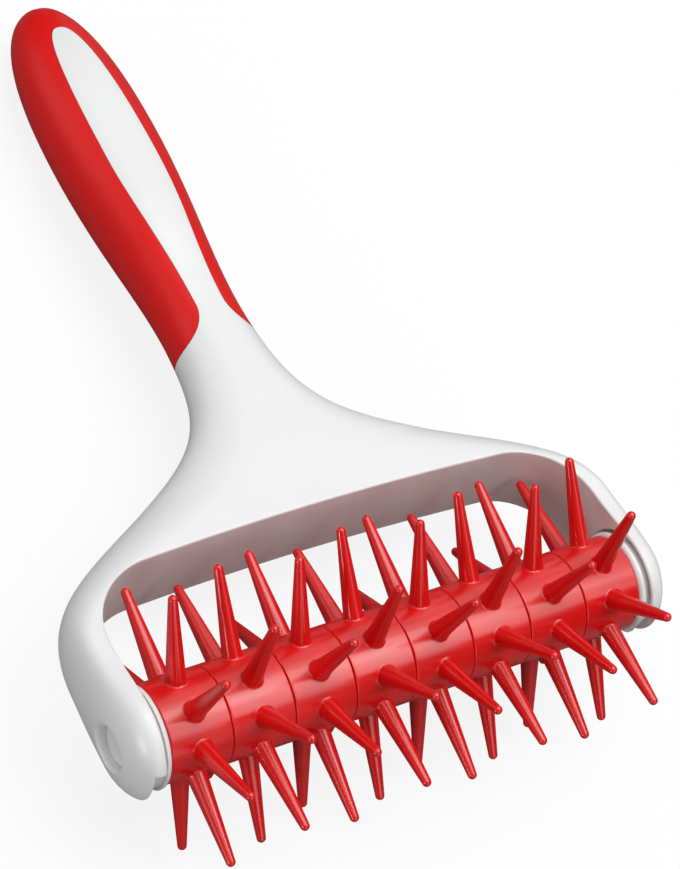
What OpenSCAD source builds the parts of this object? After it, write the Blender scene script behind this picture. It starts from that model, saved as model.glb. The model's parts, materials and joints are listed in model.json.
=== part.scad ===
// Dough docker: a hand roller with blunt pins that pricks rolled-out dough.
// Millimetres, standing on a worktop at z = 0, roller axis along X, handle towards +Y.

/* [Roller] */
// Distance from one pin ring to the next
ring_pitch = 13.8; // [12:0.1:18]
// Gap between the faces of two rings
ring_gap = 0.12; // [0.05:0.01:0.4]
// Radius of the rings' drum
drum_r = 10.05; // [9:0.05:12]
// How far the drum stops short of half a pitch past its outermost pins
end_trim = 0.45; // [0:0.05:1.5]
// Rounding of the drum's edges at each seam
drum_edge_r = 0.3; // [0.1:0.05:0.6]
// Pins round each ring
pins_per_ring = 8; // [6:1:10]
// Radius that the pin tips reach from the axis
pin_reach = 28.9; // [24:0.1:34]
// Radius of a pin where it leaves the drum
pin_base_r = 2.15; // [1.6:0.05:2.8]
// Radius of a pin's ball tip
pin_tip_r = 0.95; // [0.6:0.05:1.3]
// Height and width of the fillet round each pin's foot
pin_fillet = 0.45; // [0.2:0.05:0.8]
// Depth to which a pin is rooted in the drum
pin_root = 1.2; // [0.8:0.1:2]
// Width across the flats of the six-sided core
core_flats = 11.6; // [10:0.1:12.5]
// Clearance between the core's flats and the rings' bores
core_fit = 0.08; // [0.04:0.01:0.2]

/* [End caps] */
// How far the end cap's disc stands out past the drum
cap_lip = 0.55; // [0.3:0.05:1.5]
// Thickness of the end cap's disc
cap_t = 4.0; // [3:0.1:5]
// Rounding of the disc's rim
cap_edge_r = 1.0; // [0.4:0.1:1.2]
// Gap between the last ring and the disc
cap_gap = 0.1; // [0.05:0.01:0.3]
// Radius of the stub axle that turns in the arm
axle_r = 4.45; // [3.5:0.05:5.2]
// Depth of the stub axle's end below the eye's outer face
axle_sink = 1.8; // [1:0.1:2.6]
// Chamfer on the stub axle's end
axle_chamfer = 0.5; // [0.2:0.1:0.8]
// Radial clearance of the stub axle in its bore
axle_fit = 0.08; // [0.03:0.01:0.1]
// Radius of the spigot that plugs into the core
spigot_r = 3.6; // [2.8:0.05:4.2]
// Length of the spigot
spigot_len = 14; // [8:1:20]
// Radial clearance of the spigot in the core
spigot_fit = 0.03; // [0.01:0.01:0.08]

/* [Yoke] */
// Gap between the last ring and the arm's inner face
arm_gap = 2.05; // [1.6:0.05:3]
// Thickness of an arm at mid-length
arm_t = 6.4; // [5.5:0.1:8]
// How much the arm's eye swells outwards round the axle
eye_swell = 0.5; // [0:0.1:2]
// Wall between the disc's pocket and the eye's rounded edge
eye_wall = 0.85; // [0.6:0.05:3]
// Width over which an arm's outer side rounds off
arm_round = 4; // [3:0.1:5.5]
// Width over which the eye's outer side rounds off
eye_round = 5.6; // [4:0.1:6]
// Half thickness of the yoke
yoke_half_t = 9.35; // [7:0.05:11]
// Fullness of the arms' rounded edges: 2 is an ellipse, more is squarer
arm_fullness = 2.3; // [2:0.1:3]
// Fullness of the arms' tips as seen from above
tip_fullness = 1.7; // [1.5:0.1:2.2]
// Clearance between the sweep of the pins and the yoke's window
window_clear = 4.1; // [2.5:0.1:8]
// Corner radius of the yoke's window
window_corner_r = 15.5; // [8:0.5:20]
// Rise of the arched top edge of the window over its corners
window_arch = 1.2; // [0.4:0.1:2]
// Distance from the window's top to the middle of the flare
flare_offset = 12.2; // [9:0.1:16]
// Length over which the flare runs out into the neck
flare_neck_run = 15.9; // [12:0.1:20]
// Length over which the flare runs out into the shoulder
flare_shoulder_run = 15; // [12:0.1:17]
// Width of the rounding along the flare's edges
flare_round = 13; // [9:0.5:15]
// Radial clearance of the disc in the arm's round pocket
pocket_clear = 0.35; // [0.3:0.05:0.6]
// Gap between the disc's outer face and the pocket's floor
pocket_end_gap = 0.4; // [0.3:0.05:0.8]
// Half width of the notch that opens the pocket through the arm's tip
notch_half_w = 6.2; // [4:0.1:7]
// How far the notch's middle lies below the axle
notch_drop = 1.9; // [0:0.1:3]
// Rounding of the notch's corners
notch_corner_r = 1.2; // [0.5:0.1:2]

/* [Handle] */
// Distance from the roller axis to the end of the handle
handle_end = 176.4; // [150:0.5:220]
// Distance from the roller axis to the narrowest part of the neck
neck_y = 83; // [76:0.5:95]
// Half width of the neck
neck_half_w = 9.1; // [7.5:0.1:12]
// Half thickness of the neck
neck_half_t = 8.8; // [7:0.1:11]
// Half width of the palm swell
palm_half_w = 12.6; // [10:0.1:16]
// Half thickness of the palm swell
palm_half_t = 11.3; // [9:0.1:14]
// How far the handle's end rises above the yoke's middle plane
handle_rise = 5.2; // [0:0.1:10]

/* [Grip] */
// Thickness of the soft grip over the core
grip_t = 2.2; // [1.5:0.1:3]
// Seating gap between the grip and the core
grip_fit = 0.1; // [0.05:0.01:0.3]
// Half width of the grip's window at its widest
grip_window_half_w = 5.9; // [4:0.1:7.5]
// Half width of the grip's window at its waist
grip_waist_half_w = 3.3; // [2:0.1:4]
// Distance from the handle's end to the top of the grip's window
grip_window_margin = 10.9; // [6:0.1:20]
// Distance from the neck to the waist of the grip's window
grip_waist_run = 4; // [2:0.5:8]
// Radius of the curve between the window's waist and the grip's two lobes
grip_lobe_r = 8; // [7:0.5:11]

/* [Hidden] */
$fn = 64;

WHITE = "#f1f1ef";
RED = "#d31f23";
GRIP_RED = "#c9282a";

// Places along the roller axis, from the middle outwards
ring_count = 8;
roller_half = ring_count * ring_pitch / 2 - end_trim;
arm_in = roller_half + arm_gap;
cap_in = roller_half + cap_gap;
cap_out = cap_in + cap_t;
pocket_floor = cap_out + pocket_end_gap;
arm_out = arm_in + arm_t;
eye_out = arm_out + eye_swell;
eye_mid = eye_out - eye_round;
axle_len = eye_out - axle_sink - cap_out;
cap_r = drum_r + cap_lip;
pocket_r = cap_r + pocket_clear;
eye_r = pocket_r + eye_wall;
bore_r = axle_r + axle_fit;

// How far a cutting shape runs past the face it cuts
past = 1;
// How far the top of a pin's fillet lies under the pin's surface
fillet_sink = 0.1;

// Places along the handle, from the roller axis to the handle's end
neck_to_palm = 55;
neck_to_thickest = 37;
palm_to_swell = 11;
window_to_rise = 2;
window_y = pin_reach + window_clear;
flare_y = window_y + flare_offset;
palm_y = neck_y + neck_to_palm;
palm_thick_y = neck_y + neck_to_thickest;
rise_y = window_y + window_to_rise;

// How quickly the handle rises, how full its rounded ends are, and how far the eye's swell reaches
rise_power = 1.7;
end_fullness = 2.4;
end_fullness_up = 2.8;
grip_top_fullness = 2.5;
eye_reach = 0.9;
eye_run = eye_reach * eye_r;

// How quickly the flare runs out, and how it tightens towards the arm's outer side
flare_rate = 2;
flare_tighten = 0.4;
// Where along the arm the edge's rounding starts to widen into the flare's
round_from = 16;
round_run = 22;

// Turns and rows of pins: every second ring is turned by one flat of the core
flat_turn = 60;
pin_step = 360 / pins_per_ring;
row_spread = flat_turn % pin_step;
ball_reach = pin_reach - pin_tip_r;
axis_h = ball_reach * cos(row_spread / 2) + pin_tip_r;

// A smooth step from 0 to 1 as u goes from 0 to 1
function ease(u) = (1 - cos(180 * min(1, max(0, u)))) / 2;
// A rounded end: 1 at u = 0, falling to 0 at u = 1, squarer as n grows
function round_end(u, n) = pow(1 - pow(min(1, max(0, u)), n), 1 / n);
// A bump of height 1 that dies away over the length run
function bump(y, run) = exp(-pow(y / run, 2));

// Outline of the one-piece moulding. y runs from the eyes' tips to the handle's end.
function handle_half_w(y) = y < palm_y
    ? neck_half_w + (palm_half_w - neck_half_w) * ease((y - neck_y) / (palm_y - neck_y))
    : palm_half_w * round_end((y - palm_y) / (handle_end - palm_y), end_fullness);
function flare_share(y) = y > flare_y
    ? 1 / (1 + exp(flare_rate * (y - flare_y) / flare_neck_run))
    : let(u = (flare_y - y) / flare_shoulder_run)
        1 / (1 + exp(-flare_rate * u - flare_tighten * pow(u, 3)));
function half_w(y) = y < 0
    ? eye_mid + eye_round * round_end(-y / eye_r, tip_fullness)
    : handle_half_w(y) + (arm_out - handle_half_w(y)) * flare_share(y) + eye_swell * bump(y, eye_run);

// Half thickness and height of the middle plane along the moulding
function half_t(y) = y < 0
    ? eye_r * round_end(-y / eye_r, 2)
    : y < neck_y
    ? yoke_half_t + (neck_half_t - yoke_half_t) * ease((y - window_y) / (neck_y - window_y))
        + (eye_r - yoke_half_t) * bump(y, eye_run)
    : y < palm_thick_y
    ? neck_half_t + (palm_half_t - neck_half_t) * ease((y - neck_y) / (palm_thick_y - neck_y))
    : palm_half_t * round_end((y - palm_thick_y) / (handle_end - palm_thick_y), end_fullness_up);
function mid_z(y) = handle_rise * pow(max(0, (y - rise_y) / (handle_end - rise_y)), rise_power);

// Width of the rounding along the edge, measured along X
crown_half_w = 0.5;
edge_slope_step = 0.5;
function slope(y) = (half_w(y + edge_slope_step) - half_w(y - edge_slope_step)) / (2 * edge_slope_step);
function edge_round(y) = arm_round + (eye_round - arm_round) * bump(y, eye_run)
    + (flare_round - arm_round) * ease((y - window_y + round_from) / round_run);
function edge_w(y) = y <= 0
    ? half_w(y) - eye_mid
    : min(half_w(y) - crown_half_w, sqrt(1 + pow(slope(y), 2)) * edge_round(y));

// Stations of the loft, closer together where the outline turns
end_turn = 86;
tip_stations = [for (a = [end_turn:-8:6]) -eye_r * sin(a)];
arm_stations = [for (y = [0:3:24]) y];
flare_stations = [for (y = [26:2:60]) y];
neck_end = neck_y + 10;
neck_stations = [for (y = [63:3:neck_end]) y];
palm_stations = [for (y = [neck_end + 3:5:palm_y]) y];
end_stations = [for (a = [8:6:end_turn]) palm_y + (handle_end - palm_y) * sin(a)];
ALL_STATIONS = concat(tip_stations, arm_stations, flare_stations, neck_stations, palm_stations, end_stations);
grip_start = neck_y - 16;
HANDLE_STATIONS = [for (y = ALL_STATIONS) if (y > grip_start) y];

// Where the frame tilts to on the worktop: down about the roller axis until the handle touches
function touch_tilt(y, z) = atan2(z, y) + asin(axis_h / norm([y, z]));
rest_tilt = min([for (y = ALL_STATIONS) if (y > palm_thick_y) touch_tilt(y, mid_z(y) - half_t(y))]);

// One cross-section: flat top and bottom between two elliptical edges, drawn in by skin
edge_steps = 18;
function inset_y(y, skin) = y - skin * max(0, (y - palm_y) / (handle_end - palm_y));
function fullness(y) = 2 + (arm_fullness - 2) * ease((flare_y - y) / (flare_y - window_y)) * ease(y / eye_r);
function spread(v, n) = sign(v) * pow(abs(v), 2 / n);
function section(y, skin) =
    let(w = half_w(y) - skin, t = half_t(y) - skin, e = min(edge_w(y), w - crown_half_w / 2), n = fullness(y))
    [for (side = [1, -1])
        for (k = [0:edge_steps])
            let(a = side * (-90 + 180 * k / edge_steps))
            [side * (w - e + e * spread(cos(a), n)), inset_y(y, skin), mid_z(y) + t * spread(sin(a), n)]];

// A closed skin through the sections at those stations that are thicker than skin
min_core = 0.8;
module loft(stations, skin) {
    ys = [for (y = stations) if (skin == 0 || min(half_w(y), half_t(y)) > skin + min_core) y];
    n = 2 * (edge_steps + 1);
    m = len(ys);
    points = [for (y = ys) each section(y, skin)];
    walls = [for (j = [0:m - 2])
        for (i = [0:n - 1])
            let(a = j * n + i, b = j * n + (i + 1) % n)
            each [[a, b, b + n], [a, b + n, a + n]]];
    ends = [[for (i = [n - 1:-1:0]) i], [for (i = [0:n - 1]) (m - 1) * n + i]];
    polyhedron(points = points, faces = concat(walls, ends), convexity = 8);
}

// Turns the frame about the roller axis until the handle's underside meets the worktop
module frame_at_rest() {
    translate([0, 0, axis_h]) rotate([-rest_tilt, 0, 0]) children();
}

// Turns a child whose axis is Z onto the roller axis
module on_axis(x) {
    translate([x, 0, 0]) rotate([0, 90, 0]) children();
}

// The yoke's window from above: straight sides, rounded corners and an arched top edge
module window_outline() {
    corner_x = arm_in - window_corner_r;
    corner_y = window_y - window_arch - window_corner_r;
    arch_r = (pow(corner_x, 2) + pow(window_arch, 2)) / (2 * window_arch);
    for (side = [-1, 1]) translate([side * corner_x, corner_y]) circle(r = window_corner_r, $fn = 128);
    translate([-arm_in, -2 * eye_r]) square([2 * arm_in, corner_y + 2 * eye_r]);
    intersection() {
        translate([0, window_y - arch_r]) circle(r = arch_r, $fn = 180);
        translate([-corner_x, 0]) square([2 * corner_x, 2 * window_y]);
    }
}

// The notch through an arm's tip, seen along the roller axis
module notch_outline() {
    w = notch_half_w - notch_corner_r;
    for (side = [-1, 1]) translate([-eye_r / 2, side * w]) circle(r = notch_corner_r);
    translate([-2 * eye_r, -notch_half_w]) square([1.5 * eye_r, 2 * notch_half_w]);
    translate([-eye_r, -w]) square([eye_r / 2 + notch_corner_r, 2 * w]);
}

// What is cut out of each arm: the disc's pocket, the axle's bore and the notch
module arm_cuts(side) {
    rotate([0, 0, side > 0 ? 0 : 180]) {
        on_axis(arm_in - past) cylinder(r = pocket_r, h = pocket_floor - arm_in + past);
        on_axis(arm_in) cylinder(r = bore_r, h = eye_out - arm_in + past);
    }
    translate([side > 0 ? arm_in - past : -pocket_floor, 0, 0])
        rotate([90, 0, 90]) linear_extrude(height = pocket_floor - arm_in + past)
        translate([0, -notch_drop]) notch_outline();
}

// The grip's teardrop window: a waist, a swell, a rounded top and flared ends below the waist
grip_waist_y = neck_y + grip_waist_run;
grip_lobe_y = grip_waist_y - grip_lobe_r;
grip_swell_y = palm_y - palm_to_swell;
grip_top_y = handle_end - grip_window_margin;
function grip_window_w(y) = y < grip_waist_y
    ? grip_waist_half_w + grip_lobe_r - sqrt(max(0, pow(grip_lobe_r, 2) - pow(grip_waist_y - y, 2)))
    : y < grip_swell_y
    ? grip_waist_half_w + (grip_window_half_w - grip_waist_half_w)
        * ease((y - grip_waist_y) / (grip_swell_y - grip_waist_y))
    : grip_window_half_w * round_end((y - grip_swell_y) / (grip_top_y - grip_swell_y), grip_top_fullness);

// The part of the handle that the grip covers, from above, grown by a margin all round
module grip_zone(margin) {
    reach = 3 * palm_half_w;
    low = [for (a = [90:-9:0]) grip_waist_y - grip_lobe_r * sin(a)];
    below = grip_lobe_y - past;
    high = [for (a = [0:6:90]) grip_swell_y + (grip_top_y - grip_swell_y) * sin(a)];
    middle = [for (k = [1:9]) grip_waist_y + (grip_swell_y - grip_waist_y) * k / 10];
    ys = concat([below], low, middle, high);
    right = [for (y = ys) [grip_window_w(y), y]];
    left = [for (i = [len(ys) - 1:-1:0]) [-grip_window_w(ys[i]), ys[i]]];
    translate([0, 0, -reach]) linear_extrude(height = 2 * reach) difference() {
        translate([-reach, grip_lobe_y - margin]) square([2 * reach, handle_end]);
        offset(delta = -margin) polygon(concat(right, left));
    }
}

// Handle core, neck, yoke and arms in one moulding
module handle_frame() {
    color(WHITE) frame_at_rest() {
        difference() {
            loft(ALL_STATIONS, 0);
            grip_zone(grip_fit);
            translate([0, 0, -2 * eye_r]) linear_extrude(height = 4 * eye_r) window_outline();
            for (side = [-1, 1]) arm_cuts(side);
        }
        loft(HANDLE_STATIONS, grip_t + grip_fit);
    }
}

// Soft grip moulded over the handle's core
module grip_sleeve() {
    color(GRIP_RED) frame_at_rest() difference() {
        intersection() {
            loft(HANDLE_STATIONS, 0);
            grip_zone(0);
        }
        loft(HANDLE_STATIONS, grip_t);
    }
}

// Half of a disc's cross-section with a rounded rim, from 0 to t along the axis
module rim_profile(r, t, edge_r) {
    square([r - edge_r, t]);
    translate([0, edge_r]) square([r, t - 2 * edge_r]);
    for (y = [edge_r, t - edge_r]) translate([r - edge_r, y]) circle(r = edge_r);
}

// Six-sided core that keeps the rings from turning on it
module hex_prism(flats, h) {
    cylinder(r = flats / 2 / cos(30), h = h, $fn = 6);
}

module hex_core() {
    color(RED) translate([0, 0, axis_h]) rotate([row_spread / 2, 0, 0]) on_axis(-roller_half) difference() {
        hex_prism(core_flats, 2 * roller_half);
        translate([0, 0, -past]) cylinder(r = spigot_r + spigot_fit, h = 2 * (roller_half + past));
    }
}

// Disc with a stub axle outside and a spigot inside, turned about Z
module end_cap() {
    rotate_extrude() {
        rim_profile(cap_r, cap_t, cap_edge_r);
        square([axle_r, cap_t + axle_len - axle_chamfer]);
        square([axle_r - axle_chamfer, cap_t + axle_len]);
        translate([0, cap_t + axle_len - axle_chamfer])
            polygon([[0, 0], [axle_r, 0], [axle_r - axle_chamfer, axle_chamfer], [0, axle_chamfer]]);
        translate([0, -spigot_len]) square([spigot_r, spigot_len]);
    }
}

module end_cap_right() {
    color(WHITE) translate([0, 0, axis_h]) on_axis(cap_in) end_cap();
}

module end_cap_left() {
    color(WHITE) translate([0, 0, axis_h]) mirror([1, 0, 0]) on_axis(cap_in) end_cap();
}

// A tapered pin with a ball tip and a small fillet round its foot, standing along Z
module pin() {
    foot = drum_r - pin_root;
    translate([0, 0, foot]) cylinder(r1 = pin_base_r, r2 = pin_tip_r, h = ball_reach - foot);
    translate([0, 0, drum_r - pin_fillet])
        cylinder(r1 = pin_base_r + pin_fillet, r2 = pin_base_r - fillet_sink, h = 2 * pin_fillet);
    translate([0, 0, ball_reach]) sphere(r = pin_tip_r);
}

// Pin ring number i from the left; every second ring sits one flat of the core further round
module pin_ring(i) {
    x = (i - (ring_count + 1) / 2) * ring_pitch;
    left = i == 1 ? roller_half + x : (ring_pitch - ring_gap) / 2;
    right = i == ring_count ? roller_half - x : (ring_pitch - ring_gap) / 2;
    color(RED) translate([x, 0, axis_h]) rotate([row_spread / 2 - (i % 2 == 0 ? flat_turn : 0), 0, 0])
        difference() {
            union() {
                on_axis(-left) rotate_extrude() rim_profile(drum_r, left + right, drum_edge_r);
                for (k = [0:pins_per_ring - 1]) rotate([k * pin_step, 0, 0]) pin();
            }
            on_axis(-ring_pitch) hex_prism(core_flats + 2 * core_fit, 2 * ring_pitch);
        }
}

handle_frame();
grip_sleeve();
hex_core();
end_cap_left();
end_cap_right();
pin_ring(1);  // pin_ring_1
pin_ring(2);  // pin_ring_2
pin_ring(3);  // pin_ring_3
pin_ring(4);  // pin_ring_4
pin_ring(5);  // pin_ring_5
pin_ring(6);  // pin_ring_6
pin_ring(7);  // pin_ring_7
pin_ring(8);  // pin_ring_8
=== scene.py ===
"""Looks of the dough docker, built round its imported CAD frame. Metres, standing on the worktop at z = 0."""

import json
import math

import bmesh
import bpy
from mathutils import Euler, Matrix, Vector


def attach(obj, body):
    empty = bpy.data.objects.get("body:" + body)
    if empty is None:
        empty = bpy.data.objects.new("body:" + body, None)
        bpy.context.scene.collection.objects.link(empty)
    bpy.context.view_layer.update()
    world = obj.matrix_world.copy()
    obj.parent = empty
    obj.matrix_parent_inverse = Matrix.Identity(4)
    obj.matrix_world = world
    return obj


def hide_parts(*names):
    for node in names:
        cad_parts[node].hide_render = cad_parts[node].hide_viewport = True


bl_info = {
    "name": "Dough docker looks",
    "version": (1, 0, 0),
    "blender": (4, 5, 0),
    "location": "3D View > Sidebar > Docker",
    "description": "Smooth mouldings, plastics, camera and soft light for a dough docker",
    "category": "Object",
}

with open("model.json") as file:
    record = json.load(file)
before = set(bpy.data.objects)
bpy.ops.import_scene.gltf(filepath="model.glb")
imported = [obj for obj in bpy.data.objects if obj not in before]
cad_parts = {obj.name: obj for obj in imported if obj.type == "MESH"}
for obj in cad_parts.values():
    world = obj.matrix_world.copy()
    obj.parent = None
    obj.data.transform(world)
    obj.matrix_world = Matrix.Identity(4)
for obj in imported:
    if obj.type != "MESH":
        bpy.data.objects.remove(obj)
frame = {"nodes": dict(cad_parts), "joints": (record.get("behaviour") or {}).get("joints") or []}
NODES = frame["nodes"]
MM = 0.001
# Points closer than this are one point, in a fresh skin and in a carved shape
MERGE = 0.0005 * MM
CLEAN = 0.004 * MM
# How far a cutting shape runs past the face it cuts
PAST = 1 * MM
# How much deeper the notch is than the pocket, so that their floors don't share a plane
NOTCH_STEP = 0.05 * MM
# One flat of the rings' six-sided bore: every second ring sits one flat further round
FLAT_TURN = math.pi / 3
# Turns a shape that stands along Z so that it lies along X, its x along Y and its y along Z
ALONG_X = Matrix(((0, 0, 1, 0), (1, 0, 0, 0), (0, 1, 0, 0), (0, 0, 0, 1)))
# Length over which the colour and gloss of a moulded plastic drift, as the melt flowed
FLOW = 28 * MM
# How far the roughness drifts to either side, and where nearly all of a noise texture's values lie
GLOSS_DRIFT = 0.02
NOISE_LOW, NOISE_HIGH = 0.3, 0.7
# ABS and the grip's elastomer both refract light about this much
PLASTIC_IOR = 1.53
# Edges that turn more than this stay sharp
SHARP = math.radians(32)
# Segments round a bore or pocket, and round a part of the roller
BORE_STEPS, DRUM_STEPS = 96, 128
# Half the side of the floor, and the size of the faint mottle in its laminate
FLOOR_HALF = 3.0
MOTTLE = 60 * MM
# Softboxes round the object. Each has its direction from above, counted from +X towards +Y, and
# its height, both in degrees, then the side of its square and its watts
SOFTBOXES = (
    (0, 75, 450 * MM, 2.03),
    (180, 75, 450 * MM, 1.13),
    (90, 75, 450 * MM, 0.86),
    (330, 60, 300 * MM, 0.75),
    (305, 48, 300 * MM, 0.7),
    (22, 50, 450 * MM, 0.56),
    (68, 50, 450 * MM, 0.47),
    (112, 50, 450 * MM, 0.24),
    (270, 20, 450 * MM, 1.02),
    (135, 20, 450 * MM, 0.69),
    (45, 20, 450 * MM, 0.56),
    (180, 20, 450 * MM, 0.34),
    (200, 7, 200 * MM, 1.27),
)
# What the softboxes look at
MIDDLE = (0, 60 * MM, 20 * MM)
# Half the span of a difference quotient
NEAR = 0.05 * MM


def linear(hex_colour, alpha=1.0):
    """A linear RGBA colour from an sRGB hex string."""
    channels = [int(hex_colour[i : i + 2], 16) / 255 for i in (1, 3, 5)]
    return [c / 12.92 if c <= 0.04045 else ((c + 0.055) / 1.055) ** 2.4 for c in channels] + [alpha]


def add_node(tree, kind, settings=None, inputs=None):
    """Adds a node, sets its properties, and sets or links its inputs."""
    node = tree.nodes.new(kind)
    for key, value in (settings or {}).items():
        setattr(node, key, value)
    for key, value in (inputs or {}).items():
        if isinstance(value, bpy.types.NodeSocket):
            tree.links.new(value, node.inputs[key])
        else:
            node.inputs[key].default_value = value
    return node


def plastic(name, colour, deep, roughness, specular, sheen, grain_mm, grain_depth_mm):
    """A moulded plastic. Its colour and gloss drift with the melt's flow, and the mould leaves a grain."""
    material = bpy.data.materials.new(name)
    material.use_nodes = True
    tree = material.node_tree
    tree.nodes.clear()
    place = add_node(tree, "ShaderNodeTexCoord").outputs["Object"]
    flow = add_node(
        tree,
        "ShaderNodeTexNoise",
        inputs={"Vector": place, "Scale": 1 / FLOW, "Detail": 3.0, "Roughness": 0.5},
    )
    tint = add_node(
        tree,
        "ShaderNodeMix",
        {"data_type": "RGBA"},
        {"Factor": flow.outputs["Fac"], "A": linear(deep), "B": linear(colour)},
    )
    grain = add_node(
        tree,
        "ShaderNodeTexNoise",
        inputs={"Vector": place, "Scale": 1 / (grain_mm * MM), "Detail": 2.0, "Roughness": 0.6},
    )
    gloss = add_node(
        tree,
        "ShaderNodeMapRange",
        inputs={
            "Value": flow.outputs["Fac"],
            "From Min": NOISE_LOW,
            "From Max": NOISE_HIGH,
            "To Min": roughness - GLOSS_DRIFT,
            "To Max": roughness + GLOSS_DRIFT,
        },
    )
    bump = add_node(
        tree,
        "ShaderNodeBump",
        inputs={
            "Strength": 0.5,
            "Distance": grain_depth_mm * MM,
            "Height": grain.outputs["Fac"],
        },
    )
    shader = add_node(
        tree,
        "ShaderNodeBsdfPrincipled",
        inputs={
            "Base Color": tint.outputs["Result"],
            "Roughness": gloss.outputs["Result"],
            "IOR": PLASTIC_IOR,
            "Specular IOR Level": specular,
            "Sheen Weight": sheen,
            "Sheen Roughness": 0.3,
            "Normal": bump.outputs["Normal"],
        },
    )
    add_node(tree, "ShaderNodeOutputMaterial", inputs={"Surface": shader.outputs["BSDF"]})
    return material


def finish_of(kind):
    """The plastic of that kind, made the first time it is asked for."""
    colours = bpy.context.scene.docker_colours
    # Each has its name, colour, deeper colour, roughness, specular level, sheen, and its grain's width
    # and depth in mm. Real grain is too fine to show here, so it is drawn as coarse as it needs. It is
    # shallow, because a moulded face looks smooth from a step away.
    kinds = {
        # Frame and end caps: white ABS, injection moulded in a tool with a fine satin finish. It has soft
        # highlights, and a little sheen stands for the light that its pigment scatters at the rims.
        "white": (
            "ABS_white_satin_moulded",
            colours.white,
            colours.white_deep,
            0.33,
            0.5,
            0.2,
            0.4,
            0.0004,
        ),
        # Pin rings: red ABS, injection moulded in a polished tool, so they shine more. Their grain is the
        # slight waviness of a polished tool, which is wider than a satin one's.
        "red": (
            "ABS_red_gloss_moulded",
            colours.red,
            colours.red_deep,
            0.26,
            0.8,
            0.0,
            2.5,
            0.0006,
        ),
        # Core inside the rings: the same red ABS, left as it leaves the tool, so it is duller
        "core": (
            "ABS_red_plain_moulded",
            colours.red,
            colours.red_deep,
            0.4,
            0.5,
            0.0,
            0.4,
            0.001,
        ),
        # Grip: soft red thermoplastic elastomer, moulded over the handle in a second shot. Its gloss is
        # weak and spread out.
        "grip": (
            "TPE_red_soft_overmoulded",
            colours.grip,
            colours.grip_deep,
            0.42,
            0.4,
            0.0,
            0.3,
            0.0008,
        ),
    }
    name = kinds[kind][0]
    return bpy.data.materials.get(name) or plastic(*kinds[kind])


def dress(node, material):
    """Gives a CAD node's slots that material."""
    for slot in NODES[node].material_slots:
        slot.material = material


def length(name, description, mm):
    """A length property whose default is given in millimetres."""
    return bpy.props.FloatProperty(
        name=name,
        description=description,
        default=mm * MM,
        unit="LENGTH",
        precision=5,
    )


def tone(name, description, default):
    """A colour property, kept as an sRGB hex string."""
    return bpy.props.StringProperty(name=name, description=description, default=default)


class DOCKER_PG_roller(bpy.types.PropertyGroup):
    """Sizes of the pin rings and the end caps"""

    ring_count: bpy.props.IntProperty(name="Rings", description="How many pin rings there are", default=8)
    pin_count: bpy.props.IntProperty(name="Pins", description="How many pins stand round a ring", default=8)
    ring_pitch: length("Ring pitch", "From one pin ring to the next", 13.8)
    ring_gap: length("Ring gap", "Gap between the faces of two rings", 0.12)
    drum_r: length("Drum radius", "Radius of the rings' drum", 10.05)
    end_trim: length("End trim", "How far the drum stops short of half a pitch past its outermost pins", 0.45)
    drum_edge_r: length("Drum edge", "Rounding of the drum's edges at each seam", 0.3)
    pin_reach: length("Pin reach", "Radius that the pin tips reach from the axis", 28.9)
    pin_base_r: length("Pin base radius", "Radius of a pin at its root", 2.15)
    pin_tip_r: length("Pin tip radius", "Radius of a pin's ball tip", 0.95)
    pin_root: length("Pin root", "Depth to which a pin is rooted in the drum", 1.2)
    pin_fillet: length("Pin fillet", "Radius of the fillet round a pin's foot", 0.4)
    core_flats: length("Core flats", "Width across the flats of the rings' bores", 11.76)
    cap_gap: length("Cap gap", "Gap between the last ring and the disc", 0.1)
    cap_r: length("Disc radius", "Radius of the end cap's disc", 10.6)
    cap_t: length("Disc thickness", "Thickness of the end cap's disc", 4.0)
    cap_edge_r: length("Disc rim", "Rounding of the disc's rim", 1.0)
    flange_t: length("Flange thickness", "Thickness of the disc's rim outside the pocket", 1.25)
    flange_edge_r: length("Flange edge", "Rounding of the flange's edge beside the arm", 0.25)
    hub_r: length("Hub radius", "Radius of the disc's hub inside the pocket", 9.9)
    axle_r: length("Axle radius", "Radius of the stub axle that turns in the arm", 4.45)
    axle_sink: length("Axle sink", "Depth of the stub axle's end below the eye's outer face", 2.3)
    axle_edge_r: length("Axle edge", "Rounding of the stub axle's end", 0.5)
    spigot_r: length("Spigot radius", "Radius of the spigot that plugs into the core", 3.6)
    spigot_len: length("Spigot length", "Length of the spigot", 14.0)


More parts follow.
